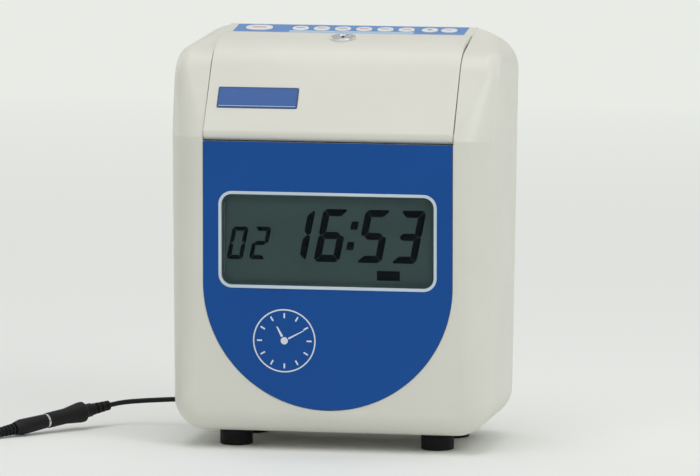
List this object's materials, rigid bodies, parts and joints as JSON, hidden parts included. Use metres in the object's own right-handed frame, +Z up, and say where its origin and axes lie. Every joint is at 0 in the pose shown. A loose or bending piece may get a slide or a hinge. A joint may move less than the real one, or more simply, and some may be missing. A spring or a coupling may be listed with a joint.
{
  "type": "time clock",
  "caption": "Desktop time recorder: round-shouldered plastic body, hinged lockable lid, top card mouth, strip of keys, framed display, card printer inside and a low-voltage lead.",
  "frame": {"origin": "on the floor, under the middle of the body without its cord", "axes": "+Z up, the display faces -Y, +X to the right as seen from the front"},
  "size_m": [0.337, 0.1148, 0.2143],
  "materials": {
    "ivory": "fine grained, matt",
    "panel_blue": "smooth, printed blue",
    "strip_blue": "smooth, light blue",
    "frame_trim": "satin, pale",
    "window": "clear",
    "lcd": "dark display glass",
    "board": "solder mask",
    "key_white": "satin",
    "badge": "smooth, bare blue plate",
    "steel": "bright",
    "lock_metal": "plated",
    "gear": "moulded",
    "black_plastic": "matt",
    "roller": "matt",
    "foot_rubber": "matt",
    "cord": "satin",
    "ribbon": "inked",
    "motor": "satin",
    "battery": "shrink sleeve",
    "knob_blue": "matt"
  },
  "bodies": {
    "housing": {"housing": "ivory", "rear_cover": "ivory", "case_screws": "steel", "rubber_feet": "foot_rubber", "foot_screws": "steel", "front_panel": "panel_blue", "display_frame": "frame_trim", "display_window": "window", "lcd_glass": "lcd", "lcd_board": "board", "main_board": "board", "backup_battery": "battery", "key_deck": "ivory", "key_strip": "strip_blue", "key_board": "board", "card_throat": "ivory", "card_guide": "steel", "chassis": "steel", "platen": "roller", "guide_rod": "steel", "feed_motor": "motor", "carriage_motor": "motor", "ribbon_cassette": "black_plastic", "ribbon": "ribbon", "cord_gland": "cord", "power_lead": "cord", "dc_socket": "cord", "dc_plug": "cord", "adapter_lead": "cord", "lead_coil": "cord", "wall_adapter": "black_plastic"},
    "lid": {"lid": "ivory", "lid_badge": "badge", "lock_barrel": "lock_metal", "lock_nut": "lock_metal"},
    "lock": {"lock_plug": "lock_metal", "lock_cam": "lock_metal"},
    "key_main": {"key_main": "key_white"},
    "key_1": {"key_1": "key_white"},
    "key_2": {"key_2": "key_white"},
    "key_3": {"key_3": "key_white"},
    "key_4": {"key_4": "key_white"},
    "key_5": {"key_5": "key_white"},
    "key_6": {"key_6": "key_white"},
    "key_left": {"key_left": "key_white"},
    "key_right": {"key_right": "key_white"},
    "feed": {"feed_shaft": "steel", "feed_rollers": "roller", "feed_gear": "gear"},
    "feed_pinion": {"feed_pinion": "gear"},
    "pinch": {"pinch_roller": "steel"},
    "carriage": {"carriage": "black_plastic", "print_head": "black_plastic"},
    "screw": {"lead_screw": "steel", "screw_gear": "gear"},
    "screw_pinion": {"screw_pinion": "gear"},
    "ribbon_knob": {"ribbon_knob": "knob_blue"}
  },
  "joints": [
    {"name": "lid_hinge", "type": "hinge", "parent": "housing", "child": "lid", "pos_m": [0, -0.0446, 0.1639], "axis": [1, 0, 0], "range_deg": [0, 100]},
    {"name": "lock_turn", "type": "hinge", "parent": "lid", "child": "lock", "pos_m": [0, -0.00539, 0.21001], "axis": [0, -0.1392, 0.9903], "range_deg": [0, 90]},
    {"name": "key_main_press", "type": "slide", "parent": "housing", "child": "key_main", "axis": [0, 0.1392, -0.9903], "range_m": [0, 0.0008], "stiffness_N_per_m": 300, "springref_m": -0.0008},
    {"name": "key_1_press", "type": "slide", "parent": "housing", "child": "key_1", "axis": [0, 0.1392, -0.9903], "range_m": [0, 0.0008], "stiffness_N_per_m": 300, "springref_m": -0.0008},
    {"name": "key_2_press", "type": "slide", "parent": "housing", "child": "key_2", "axis": [0, 0.1392, -0.9903], "range_m": [0, 0.0008], "stiffness_N_per_m": 300, "springref_m": -0.0008},
    {"name": "key_3_press", "type": "slide", "parent": "housing", "child": "key_3", "axis": [0, 0.1392, -0.9903], "range_m": [0, 0.0008], "stiffness_N_per_m": 300, "springref_m": -0.0008},
    {"name": "key_4_press", "type": "slide", "parent": "housing", "child": "key_4", "axis": [0, 0.1392, -0.9903], "range_m": [0, 0.0008], "stiffness_N_per_m": 300, "springref_m": -0.0008},
    {"name": "key_5_press", "type": "slide", "parent": "housing", "child": "key_5", "axis": [0, 0.1392, -0.9903], "range_m": [0, 0.0008], "stiffness_N_per_m": 300, "springref_m": -0.0008},
    {"name": "key_6_press", "type": "slide", "parent": "housing", "child": "key_6", "axis": [0, 0.1392, -0.9903], "range_m": [0, 0.0008], "stiffness_N_per_m": 300, "springref_m": -0.0008},
    {"name": "key_left_press", "type": "slide", "parent": "housing", "child": "key_left", "axis": [0, 0.1392, -0.9903], "range_m": [0, 0.0008], "stiffness_N_per_m": 300, "springref_m": -0.0008},
    {"name": "key_right_press", "type": "slide", "parent": "housing", "child": "key_right", "axis": [0, 0.1392, -0.9903], "range_m": [0, 0.0008], "stiffness_N_per_m": 300, "springref_m": -0.0008},
    {"name": "feed_spin", "type": "hinge", "parent": "housing", "child": "feed", "pos_m": [0, 0.0249, 0.12], "axis": [1, 0, 0], "continuous": true},
    {"name": "feed_pinion_spin", "type": "hinge", "parent": "housing", "child": "feed_pinion", "pos_m": [0, 0.0057, 0.12], "axis": [1, 0, 0], "continuous": true},
    {"name": "pinch_spin", "type": "hinge", "parent": "housing", "child": "pinch", "pos_m": [0, 0.0372, 0.12], "axis": [1, 0, 0], "continuous": true},
    {"name": "carriage_slide", "type": "slide", "parent": "housing", "child": "carriage", "axis": [1, 0, 0], "range_m": [-0.028, 0.028]},
    {"name": "screw_spin", "type": "hinge", "parent": "housing", "child": "screw", "pos_m": [0, 0.0119, 0.164], "axis": [1, 0, 0], "range_deg": [-900, 900]},
    {"name": "screw_pinion_spin", "type": "hinge", "parent": "housing", "child": "screw_pinion", "pos_m": [0, 0.0119, 0.15], "axis": [1, 0, 0], "range_deg": [-2000, 2000]},
    {"name": "ribbon_knob_spin", "type": "hinge", "parent": "housing", "child": "ribbon_knob", "pos_m": [0.038, 0.0019, 0.188], "axis": [0, 0, 1], "continuous": true}
  ],
  "couplings": [
    {"joint": "feed_pinion_spin", "follows": "feed_spin", "ratio": -3},
    {"joint": "pinch_spin", "follows": "feed_spin", "ratio": -1.875},
    {"joint": "screw_spin", "follows": "carriage_slide", "rad_per_m": 523.6},
    {"joint": "screw_pinion_spin", "follows": "carriage_slide", "rad_per_m": -1221.7}
  ]
}
